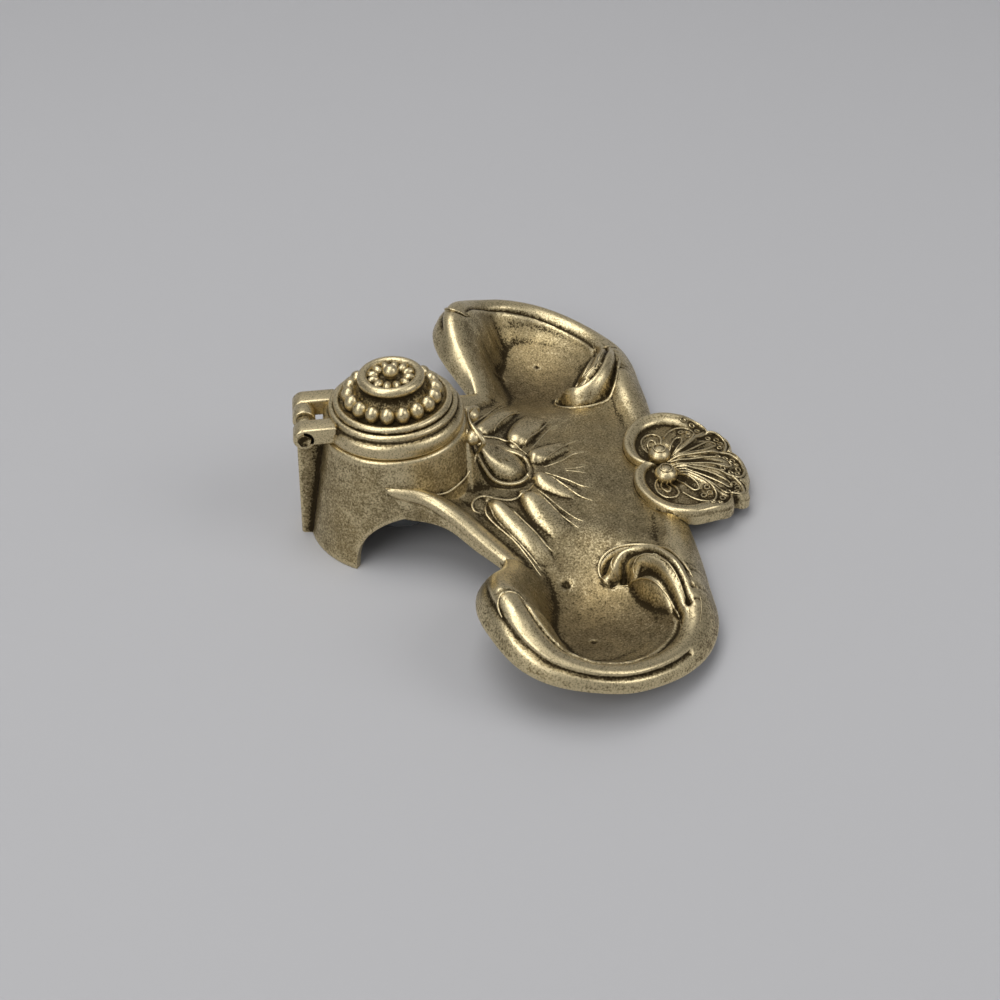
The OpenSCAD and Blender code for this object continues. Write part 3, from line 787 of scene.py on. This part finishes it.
def shell_edge(a):
    """Distance of the outline from the shell's middle, at angles in degrees from the front."""
    v = SHELL_HALF - SHELL_C
    turn = np.degrees(np.arctan2(v[:, 0], -v[:, 1]))
    turn[-1] = 180
    return np.interp(np.abs(a), np.maximum.accumulate(turn), np.hypot(v[:, 0], v[:, 1]))


def shell_base(y):
    """Height of the shell's face without its ridges, which falls towards the front."""
    d = np.maximum(0, -y - 92)
    return MID_FLOOR + 0.3 - 0.0033 * d * d - 0.00014 * d ** 3


def polar(q):
    """Share of the shell's outline and angle from the front, in degrees, of each point."""
    v = q - SHELL_C
    a = np.degrees(np.arctan2(v[:, 0], -v[:, 1]))
    return np.hypot(v[:, 0], v[:, 1]) / shell_edge(a), a


def shell_height(q):
    """Height of the shell's face, for points within its outline."""
    f, a = polar(q)
    back = ease((np.abs(a) - 56) / 14)
    inset = (1 - f) * shell_edge(a)
    rim = 1.1 * bell(inset - 1.3, 0.9) * (1 - back)
    band = 2.1 * np.sqrt(np.maximum(0, 1 - ((inset - 2.7) / 3.1) ** 2)) * back
    half = one_half(q)
    ribs = 0.8 * bell(near(half, np.vstack([curve(line, 5) for line in SHELL_RIDGES[:2]]))[0], 1.3) - 0.4
    away = np.linalg.norm(half - BUTTON, axis=1)
    # The moat round each button leaves out points at x = 0, so a hair-thin fin stands between the buttons
    moat = -1.3 * ease((8 - away) / 4) * (half[:, 0] > 0) + 0.9 * ease((inset - 5.5) / 4) * (1 - back)
    face = shell_base(q[:, 1]) + rim + band + ribs * ease((inset - 1.5) / 2) + moat
    return face - 1.4 * ease((0.8 - inset) / 0.8)


def shell_over(q):
    """Height of the shell's face, kept above the tray it lies on."""
    z = shell_height(q)
    over = (q[:, 1] > OVER_TRAY) & (np.abs(q[:, 0]) < 33)
    if over.any():
        z[over] = np.maximum(z[over], surface(q[over]) + SHELL_LIP)
    return z


def on_shell(q, lift=0.1):
    """Points q of (x, y), set on the shell's face."""
    return np.column_stack([q, shell_over(np.array(q)) + lift])


def add_flutes(shape):
    """Ridges between the lobes, loops within them and a cluster of small rings at each lobe's end."""
    for i, ridge in enumerate(SHELL_RIDGES):
        line = curve(ridge, 6) * (SHELL_SLIM, 1)
        thick = 0.6 if i < 2 else 0.45
        for side in (1, -1):
            shape.add(*tube(on_shell(line * (side, 1)), thick * np.linspace(0.7, 1, len(line)), 8))
    for x, y in SHELL_RINGS:
        for side in (1, -1):
            add_ring(shape, (side * x * SHELL_SLIM, y), 0.85, 0.3)


def add_ring(shape, centre, radius, thick):
    turns = np.linspace(0, 2 * math.pi, 17)
    q = np.array(centre) + radius * np.stack([np.cos(turns), np.sin(turns)], 1)
    shape.add(*tube(on_shell(q), [thick] * len(q), 6))


def add_buttons(shape):
    """A round button with a ring in the eye of each volute."""
    for side in (1, -1):
        x, y = BUTTON * (side, 1)
        shape.add(*ball((x, y, 11.8), (4.0, 4.0, 3.2), rows=16, cols=32))
        turns = np.linspace(0, 2 * math.pi, 33)
        ring = [(x + 2.0 * math.cos(a), y + 2.0 * math.sin(a), 14.7) for a in turns]
        shape.add(*tube(ring, [0.42] * len(ring), 8))


def shell_rows(turns):
    """Rows of points on the shell's face, from its outline in to the middle."""
    out = np.stack([np.sin(np.radians(turns)), -np.cos(np.radians(turns))], 1)
    edge, rows = shell_edge(turns), []
    for f in np.concatenate([[1.0, 0.997, 0.99, 0.98], np.linspace(0.97, 0.02, 96)]):
        q = SHELL_C + (f * edge)[:, None] * out
        rows.append(np.column_stack([q, shell_over(q)]))
    return rows


def shell_low_rows(top):
    """Rows of points on the shell's lower face, which lies on the tray, under some rows of its face."""
    rows = []
    for k in (0, 6, 30, 60, len(top) - 1):
        p = top[k].copy()
        p[:, 2] = np.minimum(p[:, 2], shell_base(p[:, 1]) + 0.6) - SHELL_T
        over = p[:, 1] > OVER_TRAY
        bed = np.maximum(p[over, 2], surface(p[over, :2]) + SHELL_GAP)
        p[over, 2] = np.minimum(top[k][over, 2] - SHELL_LIP, bed)
        rows.append(p)
    return rows


def make_shell():
    shape = Shape()
    n = 720
    top = shell_rows(np.linspace(-180, 180, n, endpoint=False))
    low = shell_low_rows(top)
    faces = grid_faces(len(top), n, close_cols=True)
    base = len(top) * n
    faces += [tuple(base + i for i in f[::-1]) for f in grid_faces(len(low), n, close_cols=True)]
    for j in range(n):
        k = (j + 1) % n
        faces.append((j, k, base + k, base + j)[::-1])
    faces.append(tuple((len(top) - 1) * n + j for j in range(n)))
    faces.append(tuple(base + (len(low) - 1) * n + j for j in range(n - 1, -1, -1)))
    shape.add(np.vstack(top + low), faces)
    add_buttons(shape)
    add_flutes(shape)
    return shape.build("shell_casting", 60.0)


# Lid

def arc(centre, radius, start, end, steps=8):
    """Points on an arc of a profile, angles in degrees."""
    spokes = [spoke(radius, math.radians(a)) for a in np.linspace(start, end, steps)]
    return [(centre[0] + x, centre[1] + y) for x, y in spokes]


LID_Z, BAND, LID_R = 40.3, 5.8, 23.0
DOME_H, CROWN_R = 10.8, 9.7
LUG_NEAR, LUG_FAR, LUG_R = 5.0, 11.5, 3.7


def lid_outline():
    """The lid's profile: skirt, two steps, the dome's foot, the dome, the crown ring, then the hollow."""
    b = LID_Z + BAND
    crown = b + DOME_H
    outer = [(20.4, LID_Z), (22.0, LID_Z), (22.5, LID_Z + 0.25)]
    outer += [(22.9, LID_Z + 1.0), (23.0, LID_Z + 2.0), (22.95, LID_Z + 3.0), (22.7, LID_Z + 3.9),
              (22.2, LID_Z + 4.7), (21.5, LID_Z + 5.3), (20.9, LID_Z + 5.5)]
    outer += [(20.75, b + 0.1)]
    outer += arc((19.75, b + 0.7), 1.25, -35, 100, 9)
    outer += [(19.2, b + 1.75)]
    outer += arc((17.9, b + 2.5), 1.35, -25, 105, 9)
    outer += [(17.3, b + 3.45), (16.7, b + 3.1), (15.6, b + 3.0)]
    outer += [(14.2, b + 3.4), (12.6, b + 5.0), (10.9, b + 7.2), (10.1, b + 8.8)]
    outer += arc((CROWN_R - 0.6, crown), 1.75, -50, 150, 16)
    outer += [(7.3, crown - 0.6), (6, crown - 0.5), (3.4, crown), (0, crown + 0.3)]
    hollow = [(0, crown - 3), (6, crown - 3), (7, crown - 3.6), (12, b + 2.6), (17, b + 1.4),
              (20.4, b - 1.6)]
    return outer + hollow


def add_beads(shape, count, radius, z, size):
    for i in range(count):
        a = 2 * math.pi * (i + 0.5) / count
        shape.add(*ball((*spoke(radius, a), z), size, a))


def make_lid():
    shape = Shape()
    shape.add(*lathe(lid_outline(), 200))
    b = LID_Z + BAND
    add_beads(shape, 18, 13.8, b + 5.2, (2.6, 2.45, 2.9))
    add_beads(shape, 12, 5.9, b + DOME_H + 0.1, (2.2, 1.45, 1.7))
    for side in (1, -1):
        x0, x1 = sorted((side * LUG_NEAR, side * LUG_FAR))
        shape.add(*block((x0, LID_R - 4.5, LID_Z + 0.6), (x1, HINGE_Y + 0.8, HINGE_Z + LUG_R), 0.7))
        shape.add(*cylinder_x(x0, x1, HINGE_Y, HINGE_Z, LUG_R, 0.7))
    return shape.build("lid_casting", 50.0)


def make_button():
    shape = Shape()
    z = LID_Z + BAND + DOME_H + 0.4
    profile = [(0, z - 4.8), (2.5, z - 4.8), (2.5, z - 3.45), (1.5, z - 3.45), (1.5, z), (2.1, z + 0.1)]
    profile += arc((0, z + 1.55), 2.5, -30, 90, 12)
    profile = [(r, min(h, z + 4.0)) for r, h in profile]
    shape.add(*lathe(profile, 48))
    return shape.build("lid_button_turned", 50.0)


PIN_R, PIN_HALF, PIN_HEAD_R, PIN_HEAD = 1.6, 12.2, 2.15, (11.55, 12.4)


def make_pin():
    shape = Shape()
    shape.add(*cylinder_x(-PIN_HALF, PIN_HALF, HINGE_Y, HINGE_Z, PIN_R, 0.3))
    for side in (1, -1):
        x0, x1 = sorted(side * x for x in PIN_HEAD)
        shape.add(*cylinder_x(x0, x1, HINGE_Y, HINGE_Z, PIN_HEAD_R, 0.45, bump=0.12))
    return shape.build("hinge_pin_peened", 50.0)


def make_pot():
    shape = Shape()
    seat, top, flange = 35.6, 37.2, 1.7
    r, wall, base, depth = 18.0, 2.2, 5.0, 28.5
    outer = [(0, seat - depth)] + arc((r - base, seat - depth + base), base, -90, 0, 12)
    outer += [(r, seat), (r + flange, seat)] + arc((r + 1.4, top - 0.5), 0.5, 0, 90, 4)
    inner = arc((r - wall + 0.4, top - 0.4), 0.4, 90, 180, 4)
    inner += arc((r - wall - base, seat - depth + wall + base), base, 0, -90, 12)
    inner += [(0, seat - depth + wall)]
    shape.add(*lathe(outer + inner, 120))
    return shape.build("ink_pot_glazed", 50.0)


# Cavity: how far each vertex stands out of, or lies in, the surface round it

def local_mean(co, normal, weight, size):
    """Mean place of the surface within about the given size of each point, on cells of a grid."""
    key = np.floor((co - co.min(0)) / size).astype(int) + 1
    shape = key.max(0) + 2
    flat = (key[:, 0] * shape[1] + key[:, 1]) * shape[2] + key[:, 2]
    cells = int(np.prod(shape))
    total = np.bincount(flat, weight, cells)
    place = np.stack([np.bincount(flat, weight * co[:, k], cells) for k in range(3)], 1)
    facing = np.stack([np.bincount(flat, weight * normal[:, k], cells) for k in range(3)], 1)
    found, amount = np.zeros_like(co), np.zeros(len(co))
    for dx, dy, dz in np.ndindex(3, 3, 3):
        cell = flat + ((dx - 1) * shape[1] + dy - 1) * shape[2] + dz - 1
        w = total[cell]
        mean = place[cell] / np.maximum(w, 1e-9)[:, None]
        same = (facing[cell] * normal).sum(1) > 0.25 * w
        w = w * same * np.exp(-((mean - co) ** 2).sum(1) / size ** 2)
        found += mean * w[:, None]
        amount += w
    return found / np.maximum(amount, 1e-9)[:, None]


def read(items, name, size=1, kind=float):
    """One property of all items of a mesh."""
    values = np.zeros(len(items) * size, kind)
    items.foreach_get(name, values)
    return values


def mark_cavity(obj, fine=1.0, broad=2.6):
    """Writes the attribute cavity: above 0 on high spots and below 0 in recesses."""
    mesh = obj.data
    co = read(mesh.vertices, "co", 3).reshape(-1, 3) / MM
    normal = read(mesh.vertices, "normal", 3).reshape(-1, 3)
    corners, count = read(mesh.loops, "vertex_index", kind=int), read(mesh.polygons, "loop_total", kind=int)
    weight = np.bincount(corners, np.repeat(read(mesh.polygons, "area") / count, count), len(co)) + 1e-12
    small = ((co - local_mean(co, normal, weight, fine)) * normal).sum(1)
    large = ((co - local_mean(co, normal, weight, broad)) * normal).sum(1)
    value = np.clip(small / 0.09, -1, 1) * 0.65 + np.clip(large / 0.42, -1, 1) * 0.5
    attribute = mesh.attributes.new("cavity", "FLOAT", "POINT")
    attribute.data.foreach_set("value", np.clip(value, -1, 1).astype(np.float32))


# Materials

class Nodes:
    """A short way to write a material's nodes."""

    def __init__(self, name):
        self.material = bpy.data.materials.new(name)
        self.material.use_nodes = True
        self.tree = self.material.node_tree
        self.shader = self.tree.nodes["Principled BSDF"]

    def make(self, kind, **settings):
        node = self.tree.nodes.new(kind)
        for key, value in settings.items():
            if key in node.inputs and not hasattr(node, key):
                node.inputs[key].default_value = value
            else:
                setattr(node, key, value)
        return node

    def link(self, a, b):
        self.tree.links.new(a, b)

    def value(self, socket, x):
        if isinstance(x, (int, float)):
            socket.default_value = x
        elif isinstance(x, tuple):
            socket.default_value = (*x, 1.0) if len(x) == 3 else x
        else:
            self.link(x, socket)

    def math(self, operation, a, b=0.0, clamp=False):
        node = self.make("ShaderNodeMath", operation=operation, use_clamp=clamp)
        self.value(node.inputs[0], a)
        self.value(node.inputs[1], b)
        return node.outputs[0]

    def mix(self, factor, a, b, blend="MIX"):
        node = self.make("ShaderNodeMix", data_type="RGBA", blend_type=blend)
        self.value(node.inputs[0], factor)
        self.value(node.inputs[6], a)
        self.value(node.inputs[7], b)
        return node.outputs[2]

    def noise(self, coords, scale, detail=3.0, rough=0.55):
        node = self.make("ShaderNodeTexNoise", Scale=scale, Detail=detail, Roughness=rough)
        self.link(coords, node.inputs["Vector"])
        return node.outputs["Fac"]

    def times(self, x, factor):
        return self.math("MULTIPLY", x, factor)

    def vary(self, x, noise, amount):
        """x, raised and lowered by a noise that swings about 0.5."""
        return self.math("ADD", x, self.times(self.math("SUBTRACT", noise, 0.5), amount))

    def height(self, coords):
        node = self.make("ShaderNodeSeparateXYZ")
        self.link(coords, node.inputs[0])
        return node.outputs[2]

    def ramp(self, x, low, high):
        node = self.make("ShaderNodeMapRange", clamp=True, **{"From Min": low, "From Max": high})
        self.value(node.inputs["Value"], x)
        return node.outputs["Result"]


# PALE is the colour of brass rubbed bright, and also serves as a painted highlight on raised spots.
PALE = (0.70, 0.585, 0.35)
GOLD = (0.43, 0.33, 0.165)
OLIVE = (0.33, 0.27, 0.155)
UMBER = (0.19, 0.125, 0.05)
# The dark brown of patina, used also as painted shade in recesses.
PATINA_AND_SHADE = (0.045, 0.032, 0.015)
DULL = (0.25, 0.2, 0.1)
GLAZE_DARK, GLAZE_PALE = (0.045, 0.05, 0.052), (0.075, 0.08, 0.08)
# Scales of the noises in a material, per metre
BIG, MID, FINE, GRAIN = 38, 230, 1500, 3600
# Heights in metres: below the first, the lower parts start to turn darker; by the second, they are fully
# darker.
DARKEN_LOW_START, DARKEN_LOW_FULL = 0.0105, 0.004


def aged_brass(name, more_wear_and_highlight=0.0, more_patina_and_shade=0.0, brassy=0.0, darken_low=0.0):
    """Brass with an olive-grey skin: pale on raised spots, for wear and a painted highlight; dark in
    recesses, for patina and painted shade; and darker towards the bottom.
    """
    n = Nodes(name)
    coords = n.make("ShaderNodeTexCoord").outputs["Object"]
    cavity = n.make("ShaderNodeAttribute", attribute_name="cavity").outputs["Fac"]
    big = n.noise(coords, BIG, 4, 0.6)
    mid = n.noise(coords, MID, 4, 0.6)
    fine = n.noise(coords, FINE, 4, 0.7)
    grain = n.noise(coords, GRAIN, 2, 0.6)
    raised = n.vary(n.vary(cavity, mid, 0.9), fine, 3.2)
    # Raised spots are mixed towards pale brass: partly real wear, partly a painted highlight on ridges and
    # edges.
    wear_and_highlight = n.ramp(raised, 0.12 - more_wear_and_highlight, 0.7 - more_wear_and_highlight)
    # Recesses are mixed towards dark brown: partly real patina, partly painted shade in creases and round
    # ridges.
    recess_patina_and_shade = n.ramp(n.vary(raised, big, 0.6), -0.1 + more_patina_and_shade, -0.7 + more_patina_and_shade)
    speck = n.ramp(n.math("ADD", n.times(fine, 0.5), n.times(grain, 0.5)), 0.5, 0.38)
    tint = n.ramp(big, 0.42 - brassy, 0.66 - brassy)
    skin = n.mix(tint, OLIVE, GOLD)
    skin = n.mix(n.ramp(mid, 0.35, 0.7), n.mix(0.5, skin, DULL), skin)
    # Darker towards the bottom: lower parts are mixed towards umber, by the amount given to the material.
    low = n.ramp(n.vary(n.height(coords), big, 0.008), DARKEN_LOW_START, DARKEN_LOW_FULL)
    skin = n.mix(n.times(low, darken_low), skin, UMBER)
    skin = n.mix(n.ramp(big, 0.46, 0.3), skin, n.mix(0.6, skin, UMBER))
    # Pale where raised: real wear and a painted highlight.
    colour = n.mix(wear_and_highlight, skin, PALE)
    # Specks and recesses take the dark colour: the specks and part of the recesses are patina, and the rest
    # is painted shade.
    specks_patina_and_shade = n.math("MAXIMUM", recess_patina_and_shade, n.times(speck, 0.7), clamp=True)
    colour = n.mix(specks_patina_and_shade, colour, PATINA_AND_SHADE)
    n.link(colour, n.shader.inputs["Base Color"])
    n.shader.inputs["Metallic"].default_value = 1.0
    rough = n.math("ADD", n.times(mid, 0.16), 0.34)
    rough = n.math("SUBTRACT", rough, n.times(wear_and_highlight, 0.1))
    rough = n.math("ADD", rough, n.times(specks_patina_and_shade, 0.22), clamp=True)
    n.link(rough, n.shader.inputs["Roughness"])
    bump = n.make("ShaderNodeBump", Strength=0.35, Distance=0.0003)
    height = n.math("ADD", n.times(fine, 0.5), n.times(mid, 0.9))
    n.link(height, bump.inputs["Height"])
    n.link(bump.outputs["Normal"], n.shader.inputs["Normal"])
    return n.material


def glaze(name):
    n = Nodes(name)
    coords = n.make("ShaderNodeTexCoord").outputs["Object"]
    mottle = n.noise(coords, 160, 3)
    n.link(n.mix(mottle, GLAZE_DARK, GLAZE_PALE), n.shader.inputs["Base Color"])
    n.link(n.math("ADD", n.times(mottle, 0.15), 0.16), n.shader.inputs["Roughness"])
    return n.material


# Scene round the object

FLOOR = (0.436, 0.435, 0.443)


def plain(name, colour):
    n = Nodes(name)
    n.shader.inputs["Roughness"].default_value = 0.9
    n.shader.inputs["Specular IOR Level"].default_value = 0.2
    n.shader.inputs["Base Color"].default_value = (*colour, 1)
    return n.material


def make_sweep():
    """A pale floor that turns up into a backdrop on the far side."""
    bend_x, radius, width, height = 0.62, 0.12, 9.0, 4.0
    profile = [(-9.0, 0.0), (bend_x, 0.0)]
    profile += [(bend_x + radius * math.sin(a), radius * (1 - math.cos(a)))
                for a in np.linspace(0, math.pi / 2, 16)[1:]]
    profile.append((bend_x + radius, height))
    points = [(x, y, z) for x, z in profile for y in (-width, width)]
    mesh = bpy.data.meshes.new("sweep")
    mesh.from_pydata(points, [], [(2 * i, 2 * i + 2, 2 * i + 3, 2 * i + 1) for i in range(len(profile) - 1)])
    mesh.shade_smooth()
    obj = bpy.data.objects.new("sweep", mesh)
    bpy.context.scene.collection.objects.link(obj)
    mesh.materials.append(plain("paper", FLOOR))


def area_light(name, place, target, size, power):
    data = bpy.data.lights.new(name, "AREA")
    data.shape = "RECTANGLE"
    data.size, data.size_y = size
    data.energy = power
    obj = bpy.data.objects.new(name, data)
    obj.location = place
    obj.rotation_euler = (Vector(target) - Vector(place)).to_track_quat("-Z", "Y").to_euler()
    bpy.context.scene.collection.objects.link(obj)


def make_lights():
    world = bpy.data.worlds.new("studio")
    bpy.context.scene.world = world
    world.use_nodes = True
    back = world.node_tree.nodes["Background"]
    back.inputs["Color"].default_value = (0.83, 0.83, 0.85, 1)
    back.inputs["Strength"].default_value = 0.45
    area_light("ceiling", (0.08, 0.3, 1.5), (0, 0, 0), (1.3, 1.0), 12)
    area_light("window", (-0.9, 0.9, 1.1), (0, 0, 0), (0.9, 0.9), 8)
    area_light("fill", (-0.45, -1.0, 0.95), (0, 0, 0), (0.7, 0.7), 4)


CAMERA_PLACE = (-400.8, 8.5, 278.0 + 46.5)
CAMERA_DOWN, CAMERA_TURN, CAMERA_ROLL = 38.6, -6.068, -1.369
FOCAL_SHARE, SENSOR = 1.5, 36.0


def make_camera():
    e, a, roll = (math.radians(v) for v in (CAMERA_DOWN, CAMERA_TURN, CAMERA_ROLL))
    ahead = np.array((math.cos(e) * math.cos(a), math.cos(e) * math.sin(a), -math.sin(e)))
    right = np.array((math.sin(a), -math.cos(a), 0))
    up = np.cross(right, ahead)
    right, up = math.cos(roll) * right + math.sin(roll) * up, -math.sin(roll) * right + math.cos(roll) * up
    data = bpy.data.cameras.new("camera")
    data.sensor_width = SENSOR
    data.lens = SENSOR * FOCAL_SHARE
    data.clip_start, data.clip_end = 0.02, 20
    obj = bpy.data.objects.new("camera", data)
    basis = np.eye(4)
    basis[:3, 0], basis[:3, 1], basis[:3, 2] = right, up, -ahead
    basis[:3, 3] = to_row(CAMERA_PLACE)[0]
    obj.matrix_world = Matrix(basis.tolist())
    bpy.context.scene.collection.objects.link(obj)
    bpy.context.scene.camera = obj


def dress(obj, material, body, slot, *nodes):
    obj.data.materials.append(material)
    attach(obj, body)
    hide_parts(*nodes)


def main():
    bpy.context.scene.view_settings.view_transform = "Standard"
    pieces = [
        (make_tray(), aged_brass("tray_brass", darken_low=0.4), "stand", "tray_brass", "tray"),
        (make_housing(), aged_brass("housing_brass", brassy=0.06), "stand", "housing_brass", "well_housing"),
        (make_shell(), aged_brass("shell_brass"), "stand", "shell_brass", "shell_mount"),
        (make_lid(), aged_brass("lid_brass", brassy=0.04), "lid", "lid_brass", "lid"),
        (make_button(), aged_brass("button_brass", more_wear_and_highlight=0.2), "lid", "button_brass", "lid_button"),
        (make_pin(), aged_brass("pin_brass", more_wear_and_highlight=0.05), "stand", "pin_brass", "hinge_pin"),
        (make_pot(), glaze("pot_glaze"), "pot", "pot_glaze", "ink_pot"),
    ]
    for obj, material, body, slot, node in pieces:
        if node != "ink_pot":
            mark_cavity(obj)
        dress(obj, material, body, slot, node)
    make_sweep()
    make_lights()
    make_camera()


main()
